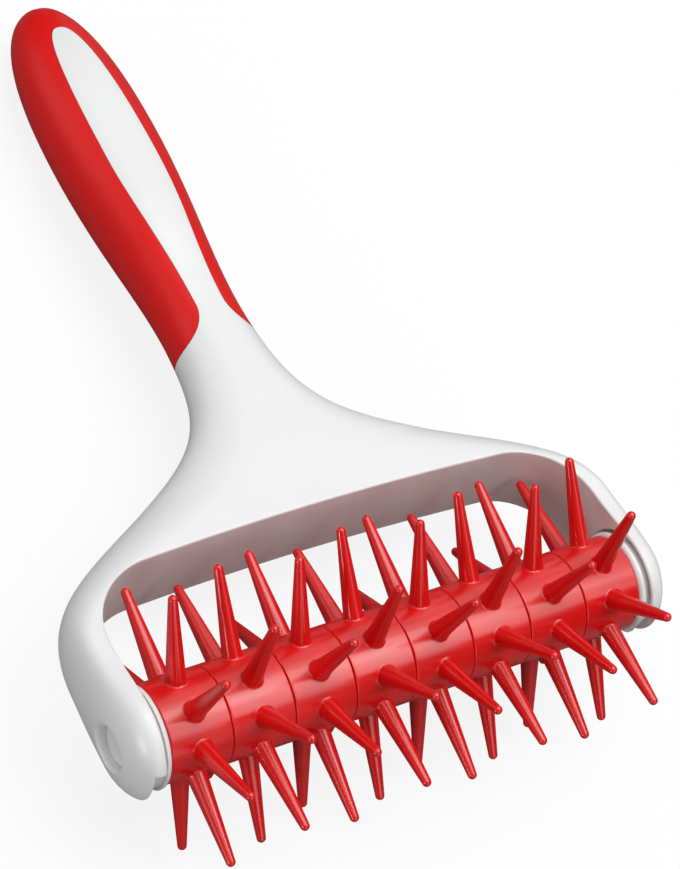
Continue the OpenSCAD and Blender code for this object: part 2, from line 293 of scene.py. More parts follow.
class DOCKER_PG_moulding(bpy.types.PropertyGroup):
    """Sizes of the one-piece moulding and of the grip round its handle"""

    arm_gap: length("Arm gap", "From the last ring to the arm's inner face", 2.05)
    arm_t: length("Arm thickness", "Thickness of an arm at mid-length", 6.4)
    eye_swell: length("Eye swell", "How much the eye swells outwards round the axle", 0.5)
    eye_r: length("Eye radius", "Radius of the rounded eye about the axle", 11.8)
    arm_round: length("Arm rounding", "Width over which an arm's outer side rounds off", 4.0)
    eye_round: length("Eye rounding", "Width over which the eye's outer side rounds off", 5.6)
    yoke_half_t: length("Yoke half thickness", "Half thickness of the yoke", 9.35)
    window_clear: length("Window clearance", "From the sweep of the pins to the window's edge", 4.1)
    window_corner_r: length("Window corner", "Corner radius of the window", 15.5)
    window_arch: length("Window arch", "Rise of the window's top edge over its corners", 1.2)
    flare_offset: length("Flare offset", "From the window's top to the middle of the flare", 12.2)
    flare_neck_run: length("Flare to neck", "Length over which the flare meets the neck", 15.9)
    flare_shoulder_run: length("Flare to shoulder", "Length over which the flare meets the shoulder", 15.0)
    flare_round: length("Flare rounding", "Width of the rounding along the flare's edges", 13.0)
    pocket_r: length("Pocket radius", "Radius of the round pocket that takes the disc", 10.95)
    pocket_edge_r: length("Pocket edge", "Rounding of the pocket's mouth", 0.35)
    pocket_end_gap: length("Pocket end gap", "From the disc's outer face to the pocket's floor", 0.4)
    bore_r: length("Bore radius", "Radius of the axle's bore", 4.53)
    notch_half_w: length("Notch half width", "Half width of the notch through the arm's tip", 6.2)
    notch_drop: length("Notch drop", "How far the notch's middle lies below the axle", 1.9)
    notch_corner_r: length("Notch corner", "Rounding of the notch's corners", 1.2)
    handle_end: length("Handle end", "From the roller's axis to the end of the handle", 176.4)
    neck_y: length("Neck place", "From the roller's axis to the narrowest part of the neck", 83.0)
    neck_half_w: length("Neck half width", "Half width of the neck", 9.1)
    neck_half_t: length("Neck half thickness", "Half thickness of the neck", 8.8)
    palm_half_w: length("Palm half width", "Half width of the palm swell", 12.6)
    palm_half_t: length("Palm half thickness", "Half thickness of the palm swell", 11.3)
    handle_rise: length("Handle rise", "How far the handle's end rises above the yoke's middle", 5.2)
    grip_t: length("Grip thickness", "Thickness of the soft grip over the core", 2.2)
    grip_fit: length("Grip seam", "Gap between the grip and the moulding", 0.1)
    grip_window_half_w: length("Grip window half width", "Half width of the grip's window", 5.9)
    grip_waist_half_w: length("Grip waist half width", "Half width of the grip's window at its waist", 3.3)
    grip_window_margin: length("Grip window margin", "From the handle's end to the grip's window", 10.9)
    grip_waist_run: length("Grip waist place", "From the neck to the waist of the grip's window", 4.0)
    grip_lobe_r: length("Grip lobe radius", "Radius of the curve between the waist and the lobes", 8.0)
    rim_r: length("Rim rounding", "Rounding of the window's edges", 0.5)
    bore_rim_r: length("Bore rim rounding", "Rounding of the bore's outer edge", 0.8)


def quarter(steps):
    """Angles of a quarter turn, in that many steps."""
    return [math.pi / 2 * k / steps for k in range(steps + 1)]


def ease(u):
    """A smooth step from 0 to 1 as u goes from 0 to 1."""
    return (1 - math.cos(math.pi * min(1, max(0, u)))) / 2


def round_end(u, n):
    """A rounded end: 1 at u = 0, falling to 0 at u = 1, squarer as n grows."""
    return (1 - min(1, max(0, u)) ** n) ** (1 / n)


def spread(v, n):
    """Turns a sine or cosine into a superellipse's coordinate."""
    return math.copysign(abs(v) ** (2 / n), v)


class Moulding:
    """The one-piece handle, yoke and arms, in the tool's own frame: roller axis along X, handle along Y."""

    # Powers of the superellipses: the arms' sides, their tips, the handle's end from above and from the
    # side, and the top of the grip's window
    arm_fullness = 2.3
    tip_fullness = 1.7
    end_fullness = 2.4
    end_fullness_up = 2.8
    grip_top_fullness = 2.5
    # How far the eye's swell spreads, in eye radii, and how fast the flare turns
    eye_spread = 0.9
    flare_rate = 2
    flare_tighten = 0.4
    # How the handle's rise gathers towards its end
    rise_power = 1.7
    # Where the wider rounding of the flare begins, before the window's top, and how long it takes
    round_from = 16 * MM
    round_run = 22 * MM
    # Least flat left along the middle of the top, and half the span of a slope's measurement
    crown_half_w = 0.5 * MM
    slope_step = 0.5 * MM
    # Places along the handle
    neck_to_palm = 55 * MM
    neck_to_thickest = 37 * MM
    palm_to_swell = 11 * MM
    window_to_rise = 2 * MM
    # How far before the neck the core under the grip begins, and how thin it may get
    grip_lead = 16 * MM
    core_least = 0.8 * MM
    # Steps round each side and across the top of a section, for the skin, the grip and the core
    skin_steps = (36, 24)
    grip_steps = (48, 16)
    core_steps = (24, 8)

    def __init__(self, scene):
        self.s = sizes = scene.docker_moulding
        self.roller = roller = scene.docker_roller
        self.axis_h = frame["joints"][0]["pos_m"][2]
        self.roller_half = roller.ring_count * roller.ring_pitch / 2 - roller.end_trim
        self.cap_in = self.roller_half + roller.cap_gap
        self.cap_out = self.cap_in + roller.cap_t
        self.pocket_floor = self.cap_out + sizes.pocket_end_gap
        self.arm_in = self.roller_half + sizes.arm_gap
        self.arm_out = self.arm_in + sizes.arm_t
        self.eye_out = self.arm_out + sizes.eye_swell
        self.eye_mid = self.eye_out - sizes.eye_round
        self.eye_run = self.eye_spread * sizes.eye_r
        self.window_y = roller.pin_reach + sizes.window_clear
        self.flare_y = self.window_y + sizes.flare_offset
        self.palm_y = sizes.neck_y + self.neck_to_palm
        self.thick_y = sizes.neck_y + self.neck_to_thickest
        self.rise_y = self.window_y + self.window_to_rise
        self.waist_y = sizes.neck_y + sizes.grip_waist_run
        self.lobe_y = self.waist_y - sizes.grip_lobe_r
        self.swell_y = self.palm_y - self.palm_to_swell
        self.top_y = sizes.handle_end - sizes.grip_window_margin
        self.tilt = self.rest_tilt()

    def bump(self, y):
        """How much of the eye's swell is left at y."""
        return math.exp(-((y / self.eye_run) ** 2))

    def handle_half_w(self, y):
        """Half width of the neck and palm swell alone."""
        s = self.s
        if y < self.palm_y:
            share = ease((y - s.neck_y) / self.neck_to_palm)
            return s.neck_half_w + (s.palm_half_w - s.neck_half_w) * share
        return s.palm_half_w * round_end((y - self.palm_y) / (s.handle_end - self.palm_y), self.end_fullness)

    def flare_share(self, y):
        """How far the outline has flared from the neck at 0 to the shoulders at 1."""
        if y > self.flare_y:
            return 1 / (1 + math.exp(self.flare_rate * (y - self.flare_y) / self.s.flare_neck_run))
        u = (self.flare_y - y) / self.s.flare_shoulder_run
        return 1 / (1 + math.exp(-self.flare_rate * u - self.flare_tighten * u**3))

    def half_w(self, y):
        """Half width of the outline from above."""
        s = self.s
        if y < 0:
            return self.eye_mid + s.eye_round * round_end(-y / s.eye_r, self.tip_fullness)
        handle = self.handle_half_w(y)
        return handle + (self.arm_out - handle) * self.flare_share(y) + s.eye_swell * self.bump(y)

    def half_t(self, y):
        """Half thickness along the moulding."""
        s = self.s
        if y < 0:
            return s.eye_r * round_end(-y / s.eye_r, 2)
        if y < s.neck_y:
            share = ease((y - self.window_y) / (s.neck_y - self.window_y))
            eye = (s.eye_r - s.yoke_half_t) * self.bump(y)
            return s.yoke_half_t + (s.neck_half_t - s.yoke_half_t) * share + eye
        if y < self.thick_y:
            share = ease((y - s.neck_y) / self.neck_to_thickest)
            return s.neck_half_t + (s.palm_half_t - s.neck_half_t) * share
        share = (y - self.thick_y) / (s.handle_end - self.thick_y)
        return s.palm_half_t * round_end(share, self.end_fullness_up)

    def mid_z(self, y):
        """Height of the middle plane, which rises along the handle."""
        share = max(0, (y - self.rise_y) / (self.s.handle_end - self.rise_y))
        return self.s.handle_rise * share**self.rise_power

    def edge_w(self, y):
        """Width of the rounding along the edge."""
        s = self.s
        if y <= 0:
            return self.half_w(y) - self.eye_mid
        step = self.slope_step
        slope = (self.half_w(y + step) - self.half_w(y - step)) / (2 * step)
        width = s.arm_round + (s.eye_round - s.arm_round) * self.bump(y)
        width += (s.flare_round - s.arm_round) * ease((y - self.window_y + self.round_from) / self.round_run)
        return min(self.half_w(y) - self.crown_half_w, math.hypot(1, slope) * width)

    def fullness(self, y):
        """Power of the superellipse at y: 2 is round, more is squarer."""
        near = ease((self.flare_y - y) / (self.flare_y - self.window_y)) * ease(y / self.s.eye_r)
        return 2 + (self.arm_fullness - 2) * near

    def section(self, y, skin, side_steps, top_steps):
        """Points round the cross-section at y, drawn in by skin."""
        width = self.half_w(y) - skin
        thick = self.half_t(y) - skin
        edge = min(self.edge_w(y), width - self.crown_half_w / 2)
        n = self.fullness(y)
        drawn_y = y - skin * max(0, (y - self.palm_y) / (self.s.handle_end - self.palm_y))
        points = []
        for side in (1, -1):
            for k in range(side_steps + 1):
                turn = side * math.pi * (k / side_steps - 0.5)
                x = side * (width - edge + edge * spread(math.cos(turn), n))
                points.append(Vector((x, drawn_y, self.mid_z(y) + thick * spread(math.sin(turn), n))))
            for k in range(1, top_steps):
                x = side * (width - edge) * (1 - 2 * k / top_steps)
                points.append(Vector((x, drawn_y, self.mid_z(y) + side * thick)))
        return points

    def top_height(self, x, y):
        """Height of the upper surface over the middle plane."""
        edge = self.edge_w(y)
        share = (abs(x) - self.half_w(y) + edge) / edge
        return self.half_t(y) * round_end(share, self.fullness(y))

    def side_reach(self, y, z):
        """How far out the surface lies at y and height z."""
        edge = self.edge_w(y)
        share = abs(z - self.mid_z(y)) / self.half_t(y)
        return self.half_w(y) - edge + edge * round_end(share, self.fullness(y))

    def rest_tilt(self):
        """How far the moulding tilts about the roller's axis until the handle touches the worktop."""
        tilts = []
        for y in self.stations(1):
            if self.thick_y < y < self.s.handle_end:
                z = self.mid_z(y) - self.half_t(y)
                tilts.append(math.atan2(z, y) + math.asin(self.axis_h / math.hypot(y, z)))
        return min(tilts)

    def stations(self, fineness):
        """Places of the sections along Y, closer together where the outline turns."""
        s = self.s
        turns = [math.radians(a) for a in range(90, 0, -3)]
        # Start, stop and step of each span in mm
        spans = ((0, 26, 1.0), (26, 62, 0.8), (62, 93, 1.5), (93, self.palm_y / MM, 2.0))
        places = [-s.eye_r * math.sin(a) for a in turns]
        for start, stop, step in spans:
            count = round((stop - start) / step)
            places += [(start + (stop - start) * i / count) * MM for i in range(count)]
        places += [self.palm_y + (s.handle_end - self.palm_y) * math.sin(a) for a in [0.0] + turns[::-1]]
        return places[::fineness]

    def hidden_rings(self, depth):
        """Sections of the core that is left under the grip, drawn in by depth."""
        s = self.s
        rings = []
        for y in self.stations(2):
            left = min(self.half_w(y), self.half_t(y)) - depth
            if y > s.neck_y - self.grip_lead and left > self.core_least:
                rings.append(self.section(y, depth, *self.core_steps))
        return rings

    def to_world(self):
        """From the tool's own frame to the tool at rest on the worktop."""
        return Matrix.Translation((0, 0, self.axis_h)) @ Matrix.Rotation(-self.tilt, 4, "X")


def outward(shape):
    """Turns every face of a closed shape outwards."""
    shape.normal_update()
    bmesh.ops.recalc_face_normals(shape, faces=shape.faces)
    if shape.calc_volume(signed=True) < 0:
        bmesh.ops.reverse_faces(shape, faces=shape.faces)
    return shape


def skin_rings(rings, closed=False):
    """A closed skin over rings of points. A grid takes their places, and its open ends are capped."""
    around = len(rings[0])
    rows = rings + rings[:1] if closed else rings
    shape = bmesh.new()
    bmesh.ops.create_grid(shape, x_segments=around, y_segments=len(rows) - 1, size=1)
    shape.verts.ensure_lookup_table()
    for j, ring in enumerate(rows):
        for i in range(around + 1):
            shape.verts[j * (around + 1) + i].co = ring[i % around]
    bmesh.ops.remove_doubles(shape, verts=shape.verts, dist=MERGE)
    bmesh.ops.holes_fill(shape, edges=[e for e in shape.edges if e.is_boundary], sides=0)
    return outward(shape)


def prism(outline, low, high):
    """A straight prism on a closed outline of (x, y), from height low to high."""
    shape = bmesh.new()
    ring = bmesh.ops.create_circle(shape, cap_ends=True, segments=len(outline), radius=1)["verts"]
    for vert, (x, y) in zip(ring, outline):
        vert.co = (x, y, low)
    raised = bmesh.ops.extrude_face_region(shape, geom=shape.faces[:])["geom"]
    top = [v for v in raised if isinstance(v, bmesh.types.BMVert)]
    bmesh.ops.translate(shape, verts=top, vec=(0, 0, high - low))
    return outward(shape)


def as_object(shape, name):
    """Makes an object of a bmesh and frees the bmesh."""
    mesh = bpy.data.meshes.new(name)
    shape.to_mesh(mesh)
    shape.free()
    made = bpy.data.objects.new(name, mesh)
    bpy.context.scene.collection.objects.link(made)
    return made


def carve(shape, cutter, operation="DIFFERENCE"):
    """The boolean of two closed shapes, which are both used up."""
    body, tool = as_object(shape, "carved"), as_object(cutter, "cutter")
    step = body.modifiers.new("carve", "BOOLEAN")
    step.operation, step.object, step.solver = operation, tool, "MANIFOLD"
    result = bmesh.new()
    result.from_object(body, bpy.context.evaluated_depsgraph_get())
    for used in (body, tool):
        mesh = used.data
        bpy.data.objects.remove(used)
        bpy.data.meshes.remove(mesh)
    return result


def path_frames(points, walls, skins):
    """For each point of a closed edge: the point, the way down the wall, and the way out over the surface."""
    frames = []
    count = len(points)
    for i, point in enumerate(points):
        along = (points[(i + 1) % count] - points[i - 1]).normalized()
        down = along.cross(walls[i]).normalized()
        if down.dot(skins[i]) > 0:
            down.negate()
        out = skins[i].cross(along).normalized()
        if out.dot(walls[i]) < 0:
            out.negate()
        frames.append((point, down, out))
    return frames


def rim_cutter(points, walls, skins, radius):
    """What rounds an edge: the corner outside a quarter round, swept along the closed edge.

    The round starts a few degrees late, so that the cutter meets the faces at an angle and not along them.
    """
    start, steps, below = math.radians(8), 6, 0.1 * radius
    profile = []
    for k in range(steps + 1):
        turn = start + (math.pi / 2 - 2 * start) * k / steps
        profile.append((radius * (1 - math.sin(turn)), radius * (1 - math.cos(turn))))
    run = (profile[0][1] + below) / math.tan(start)
    first = (profile[0][0] + run, -below)
    last = (first[1], first[0])
    profile = [first] + profile + [last, (-radius, last[1]), (-radius, -radius), (first[0], -radius)]
    rings = []
    for point, down, out in path_frames(points, walls, skins):
        rings.append([point + down * a + out * b for a, b in profile])
    return skin_rings(rings, closed=True)


def finish_piece(shape, name, kind, body, node, world):
    """Places a shape in the world and makes it a smooth piece that stands for a CAD node."""
    bmesh.ops.remove_doubles(shape, verts=shape.verts, dist=CLEAN)
    bmesh.ops.dissolve_degenerate(shape, edges=shape.edges, dist=CLEAN)
    shape.transform(world)
    piece = as_object(shape, name)
    piece.data.polygons.foreach_set("use_smooth", [True] * len(piece.data.polygons))
    piece.data.set_sharp_from_angle(angle=SHARP)
    weigh = piece.modifiers.new("weighted normals", "WEIGHTED_NORMAL")
    weigh.keep_sharp = True
    piece.data.materials.append(finish_of(kind))
    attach(piece, body)
    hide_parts(node)
    return piece


def window_edge(m):
    """The window's edge from the middle of its arch to the eye's tip: points, outward and surface normals."""
    s = m.s
    corner_x = m.arm_in - s.window_corner_r
    corner_y = m.window_y - s.window_arch - s.window_corner_r
    arch_r = (corner_x**2 + s.window_arch**2) / (2 * s.window_arch)
    arch_turn = math.asin(corner_x / arch_r)
    arch_steps, corner_steps, arm_steps, eye_steps = 16, 24, 8, 15
    plan = []
    for k in range(arch_steps + 1):
        turn = arch_turn * k / arch_steps
        plan.append((arch_r * math.sin(turn), m.window_y - arch_r * (1 - math.cos(turn)), turn))
    for k in range(1, corner_steps + 1):
        turn = math.pi / 2 * k / corner_steps
        x = corner_x + s.window_corner_r * math.sin(turn)
        plan.append((x, corner_y + s.window_corner_r * math.cos(turn), turn))
    plan += [(m.arm_in, corner_y * (1 - k / arm_steps), math.pi / 2) for k in range(1, arm_steps + 1)]
    edge = []
    for x, y, turn in plan:
        height = m.top_height(x, y)
        rise_x = (m.top_height(x + NEAR, y) - m.top_height(x - NEAR, y)) / (2 * NEAR)
        rise_y = 0
        if y > NEAR:
            rise_y = (m.top_height(x, y + NEAR) - m.top_height(x, y - NEAR)) / (2 * NEAR)
        skin = Vector((-rise_x, -rise_y, 1)).normalized()
        edge.append((Vector((x, y, height)), Vector((math.sin(turn), math.cos(turn), 0)), skin))
    for k in range(1, eye_steps + 1):
        turn = math.pi / 2 * k / eye_steps
        skin = Vector((0, -math.sin(turn), math.cos(turn)))
        edge.append((Vector((m.arm_in, 0, 0)) + s.eye_r * skin, Vector((1, 0, 0)), skin))
    return edge


def mirrored(edge, sign_x, sign_z):
    """The edge reflected to another quarter."""
    return [tuple(Vector((sign_x * v.x, v.y, sign_z * v.z)) for v in row) for row in edge]


def whole_loop(edge):
    """Closes an edge that was given for one quarter into a loop over all four."""
    right = edge + mirrored(edge, 1, -1)[-2::-1]
    left = mirrored(right, -1, 1)[::-1]
    return right + left[1:-1]


def window_cutter(m):
    """The straight-walled window, open at the arms' tips."""
    plan = [(p.x, p.y) for p, wall, skin in window_edge(m) if p.y > 0]
    foot = -2 * m.s.eye_r
    right = plan + [(m.arm_in, foot)]
    left = [(-x, y) for x, y in right[::-1]]
    return prism(right + left[:-1], -3 * m.s.eye_r, 3 * m.s.eye_r)


def lathe_x(outline, start, side, steps=BORE_STEPS):
    """A solid of revolution about the roller's axis: outline is (distance along X, radius)."""
    rings = []
    for along, radius in outline:
        x = side * (start + along)
        turns = [2 * math.pi * k / steps for k in range(steps)]
        rings.append([Vector((x, radius * math.cos(a), radius * math.sin(a))) for a in turns])
    return skin_rings(rings)


def notch_cutter(m, side):
    """The notch through an arm's tip, a slot with rounded corners seen along the roller's axis."""
    s = m.s
    corner = s.notch_corner_r
    # The notch begins halfway down the eye
    inner = -s.eye_r / 2
    flat = s.notch_half_w - corner
    turns = quarter(8)
    upper = [(inner + corner * math.cos(a), flat + corner * math.sin(a)) for a in turns[::-1]]
    outline = upper + [(y, -z) for y, z in upper[::-1]]
    outline += [(-2 * s.eye_r, -s.notch_half_w), (-2 * s.eye_r, s.notch_half_w)]
    outline = [(y, z - s.notch_drop) for y, z in outline]
    start, stop = m.arm_in - PAST, m.pocket_floor + NOTCH_STEP
    low, high = (start, stop) if side > 0 else (-stop, -start)
    shape = prism(outline, low, high)
    shape.transform(ALONG_X)
    return shape


def bore_edge(m, side):
    """The bore's edge on the eye's outer side: points, outward and surface normals."""
    rows = []
    steps = 72
    for k in range(steps):
        turn = 2 * math.pi * k / steps
        y, z = m.s.bore_r * math.cos(turn), m.s.bore_r * math.sin(turn)
        slope_y = (m.side_reach(y + NEAR, z) - m.side_reach(y - NEAR, z)) / (2 * NEAR)
        slope_z = (m.side_reach(y, z + NEAR) - m.side_reach(y, z - NEAR)) / (2 * NEAR)
        skin = Vector((1, -slope_y, -slope_z)).normalized()
        wall = Vector((0, math.cos(turn), math.sin(turn)))
        rows.append((Vector((m.side_reach(y, z), y, z)), wall, skin))
    return rows if side > 0 else mirrored(rows, -1, 1)


def grip_window_w(m, y):
    """Half width of the grip's window at y."""
    s = m.s
    if y < m.waist_y:
        lobe = math.sqrt(max(0, s.grip_lobe_r**2 - (m.waist_y - y) ** 2))
        return s.grip_waist_half_w + s.grip_lobe_r - lobe
    if y < m.swell_y:
        share = ease((y - m.waist_y) / (m.swell_y - m.waist_y))
        return s.grip_waist_half_w + (s.grip_window_half_w - s.grip_waist_half_w) * share
    share = (y - m.swell_y) / (m.top_y - m.swell_y)
    return s.grip_window_half_w * round_end(share, m.grip_top_fullness)


def grip_window_edge(m):
    """The right side of the grip's window from its flared foot to its top, seen from above."""
    turns, steps = quarter(30), 24
    low = [m.waist_y - m.s.grip_lobe_r * math.sin(a) for a in turns[::-1]]
    middle = [m.waist_y + (m.swell_y - m.waist_y) * k / steps for k in range(1, steps)]
    high = [m.swell_y + (m.top_y - m.swell_y) * math.sin(a) for a in turns]
    return [(grip_window_w(m, y), y) for y in low + middle + high]


def grip_zone(m, margin):
    """The part of the handle that the grip covers, from above, grown by a margin."""
    edge = grip_window_edge(m)
    inset = []
    for i, (x, y) in enumerate(edge):
        before, after = edge[max(0, i - 1)], edge[min(len(edge) - 1, i + 1)]
        run = Vector((after[0] - before[0], after[1] - before[1])).normalized()
        inset.append((max(0, x - margin * run.y), y + margin * run.x))
    reach = 3 * m.s.palm_half_w
    foot = m.lobe_y - margin
    right = [(reach, foot), (inset[0][0], foot)] + inset[1:]
    right[-1] = (0, inset[-1][1])
    left = [(-x, y) for x, y in right[-2::-1]]
    top = m.s.handle_end + reach
    outline = right + left + [(-reach, top), (reach, top)]
    return prism(outline, -reach, reach)


class DOCKER_OT_moulding(bpy.types.Operator):
    """One white moulding: core of the handle, neck, yoke and arms, replacing its faceted CAD node"""

    bl_idname = "docker.moulding"
    bl_label = "Build the moulding"

    def execute(self, context):
        m = Moulding(context.scene)
        s = m.s
        shape = skin_rings([m.section(y, 0, *m.skin_steps) for y in m.stations(1)])
        shape = carve(shape, window_cutter(m))
        for side in (1, -1):
            edge = s.pocket_edge_r
            mouth = [(edge * (1 - math.cos(a)), s.pocket_r + edge * (1 - math.sin(a))) for a in quarter(6)]
            pocket = [(-PAST, s.pocket_r + edge)] + mouth + [(m.pocket_floor - m.arm_in, s.pocket_r)]
            shape = carve(shape, lathe_x(pocket, m.arm_in, side))
            shape = carve(shape, lathe_x([(0, s.bore_r), (m.eye_out + PAST, s.bore_r)], 0, side))
            shape = carve(shape, notch_cutter(m, side))
            shape = carve(shape, rim_cutter(*zip(*bore_edge(m, side)), s.bore_rim_r))
        shape = carve(shape, rim_cutter(*zip(*whole_loop(window_edge(m))), s.rim_r))
        core = skin_rings(m.hidden_rings(s.grip_t + s.grip_fit))
        shape = carve(shape, carve(grip_zone(m, s.grip_fit), core))
        finish_piece(shape, "frame_moulding", "white", "frame", "handle_frame", m.to_world())
        return {"FINISHED"}


class DOCKER_OT_grip(bpy.types.Operator):
    """Soft red grip round the handle's core, replacing its faceted CAD node"""

    bl_idname = "docker.grip"
    bl_label = "Build the grip"

    def execute(self, context):
        m = Moulding(context.scene)
        outer = [y for y in m.stations(1) if y > m.s.neck_y - m.grip_lead]
        shape = skin_rings([m.section(y, 0, *m.grip_steps) for y in outer])
        shape = carve(shape, grip_zone(m, 0), "INTERSECT")
        shape = carve(shape, skin_rings(m.hidden_rings(m.s.grip_t)))
        finish_piece(shape, "soft_grip", "grip", "frame", "grip_sleeve", m.to_world())
        return {"FINISHED"}


def drum_height(r, y):
    """Height of the drum's surface over the roller's axis, y beside it."""
    return math.sqrt(r.drum_r**2 - y**2)


def pin_shape(r):
    """One tapered pin along Z with a ball tip. Its foot runs out over the drum in a real fillet."""
    around, fillet_steps, side_steps, tip_steps = 40, 5, 6, 8
    start, fillet = math.radians(15), r.pin_fillet
    foot, ball = r.drum_r - r.pin_root, r.pin_reach - r.pin_tip_r
    taper = (r.pin_base_r - r.pin_tip_r) / (ball - foot)
    base = r.pin_base_r - taper * r.pin_root
    below = 0.1 * fillet
    run = (fillet * (1 - math.cos(start)) + below) / math.tan(start)
    skirt = base + fillet * (1 - math.sin(start)) + run
    rows = [(skirt, -below)]
    for k in range(fillet_steps + 1):
        turn = start + (math.pi / 2 - start) * k / fillet_steps
        rows.append((base + fillet * (1 - math.sin(turn)), fillet * (1 - math.cos(turn))))
    turns = [2 * math.pi * k / around for k in range(around)]
    rings = [[Vector((skirt * math.cos(a), skirt * math.sin(a), foot)) for a in turns]]
    for reach, height in rows:
        ring = []
        for a in turns:
            y = reach * math.sin(a)
            ring.append(Vector((reach * math.cos(a), y, drum_height(r, y) + height)))
        rings.append(ring)
    low = r.drum_r + 2 * fillet
    heights = [low + (ball - low) * k / side_steps for k in range(side_steps)]
    upper = [(r.pin_base_r - taper * (z - foot), z) for z in heights]
    for turn in quarter(tip_steps):
        upper.append((r.pin_tip_r * math.cos(turn), ball + r.pin_tip_r * math.sin(turn)))
    for reach, z in upper:
        rings.append([Vector((reach * math.cos(a), reach * math.sin(a), z)) for a in turns])
    return skin_rings(rings)


def rounded_end(x, r, edge, inward):
    """Outline points of a quarter round at the end x of a solid of radius r."""
    turns = quarter(5)
    points = [(x + inward * edge * (1 - math.cos(a)), r - edge * (1 - math.sin(a))) for a in turns]
    return points if inward > 0 else points[::-1]


def ring_shape(r, left, right):
    """A drum with rounded edges, a six-sided bore and its round of pins, about X."""
    outline = rounded_end(-left, r.drum_r, r.drum_edge_r, 1) + rounded_end(right, r.drum_r, r.drum_edge_r, -1)
    shape = lathe_x(outline, 0, 1, DRUM_STEPS)
    corner = r.core_flats / 2 / math.cos(math.pi / 6)
    six = [math.pi / 3 * k for k in range(6)]
    bore = prism([(corner * math.sin(a), corner * math.cos(a)) for a in six], -left - PAST, right + PAST)
    bore.transform(ALONG_X)
    shape = carve(shape, bore)
    pins = pin_shape(r)
    bmesh.ops.spin(
        pins,
        geom=pins.verts[:] + pins.edges[:] + pins.faces[:],
        axis=(1, 0, 0),
        steps=r.pin_count - 1,
        angle=2 * math.pi * (r.pin_count - 1) / r.pin_count,
        use_duplicate=True,
    )
    return carve(shape, pins, "UNION")


class DOCKER_OT_rings(bpy.types.Operator):
    """Glossy red pin rings with real fillets, replacing their faceted CAD nodes"""

    bl_idname = "docker.rings"
    bl_label = "Build the pin rings"

    def execute(self, context):
        m = Moulding(context.scene)
        r = m.roller
        step = 2 * math.pi / r.pin_count
        spread_turn = FLAT_TURN % step
        for i in range(1, r.ring_count + 1):
            x = (i - (r.ring_count + 1) / 2) * r.ring_pitch
            half = (r.ring_pitch - r.ring_gap) / 2
            left = m.roller_half + x if i == 1 else half
            right = m.roller_half - x if i == r.ring_count else half
            turn = spread_turn / 2 - (FLAT_TURN if i % 2 == 0 else 0)
            world = Matrix.Translation((x, 0, m.axis_h)) @ Matrix.Rotation(turn, 4, "X")
            node = f"pin_ring_{i}"
            finish_piece(ring_shape(r, left, right), f"ring_{i}", "red", "roller", node, world)
        dress("hex_core", finish_of("core"))
        return {"FINISHED"}


class DOCKER_OT_caps(bpy.types.Operator):
    """White end caps: a flange, a hub in the arm's pocket, a stub axle outside and a spigot inside"""

    bl_idname = "docker.caps"
    bl_label = "Build the end caps"

    def execute(self, context):
        m = Moulding(context.scene)
        r = m.roller
        axle_end = m.eye_out - r.axle_sink - m.cap_in
        outline = rounded_end(-r.spigot_len, r.spigot_r, r.axle_edge_r, 1) + [(0, r.spigot_r)]
        outline += rounded_end(0, r.cap_r, r.cap_edge_r, 1)
        outline += rounded_end(r.flange_t, r.cap_r, r.flange_edge_r, -1) + [(r.flange_t, r.hub_r)]
        outline += rounded_end(r.cap_t, r.hub_r, r.cap_edge_r, -1)
        outline += [(r.cap_t, r.axle_r)] + rounded_end(axle_end, r.axle_r, r.axle_edge_r, -1)
        world = Matrix.Translation((0, 0, m.axis_h))
        for side, name in ((-1, "left"), (1, "right")):
            shape = lathe_x(outline, m.cap_in, side, DRUM_STEPS)
            node = f"end_cap_{name}"
            finish_piece(shape, f"cap_{name}", "white", "roller", node, world)
        return {"FINISHED"}


class DOCKER_PG_colours(bpy.types.PropertyGroup):
    """Colours of the plastics as sRGB hex strings, each with the deeper one that it drifts to"""

    white: tone("White", "The white moulding", "#F0F1F1")
    white_deep: tone("Deep white", "Where the melt met", "#EBECEC")
    red: tone("Red", "The glossy red rings", "#E40A09")
    red_deep: tone("Deep red", "Where the melt met", "#DA0807")
    grip: tone("Grip red", "The soft red grip", "#E60C0A")
    grip_deep: tone("Deep grip red", "Where the melt met", "#DC0A08")


class DOCKER_PG_stage(bpy.types.PropertyGroup):
    """Camera, floor and light"""

    camera_place: bpy.props.FloatVectorProperty(
        name="Camera place",
        description="Where the camera stands, in the tool's own frame",
        default=(-251.2 * MM, -202.4 * MM, 441.6 * MM),
        subtype="TRANSLATION",
        unit="LENGTH",
    )
    camera_turn: bpy.props.FloatVectorProperty(
        name="Camera turn",
        description="How the camera is turned in the tool's own frame, as XYZ angles",
        default=[math.radians(a) for a in (37.587625, -14.544339, -28.36683)],
        subtype="EULER",
        unit="ROTATION",
    )
    lens: bpy.props.FloatProperty(name="Lens", description="Focal length in mm", default=112.871)
    floor: tone("Floor", "The worktop", "#FAFAFA")
    floor_bounce: tone("Floor bounce", "What the floor sends back onto the object", "#7C7C7C")
    shadow: bpy.props.FloatProperty(
        name="Shadow",
        description="How much of the object's shadow the camera sees on the floor",
        default=0.15,
    )
    studio: bpy.props.FloatProperty(name="Studio", description="Brightness of the walls", default=0.03)
    softbox_way: length("Softbox distance", "From the middle of the object to each softbox", 800.0)


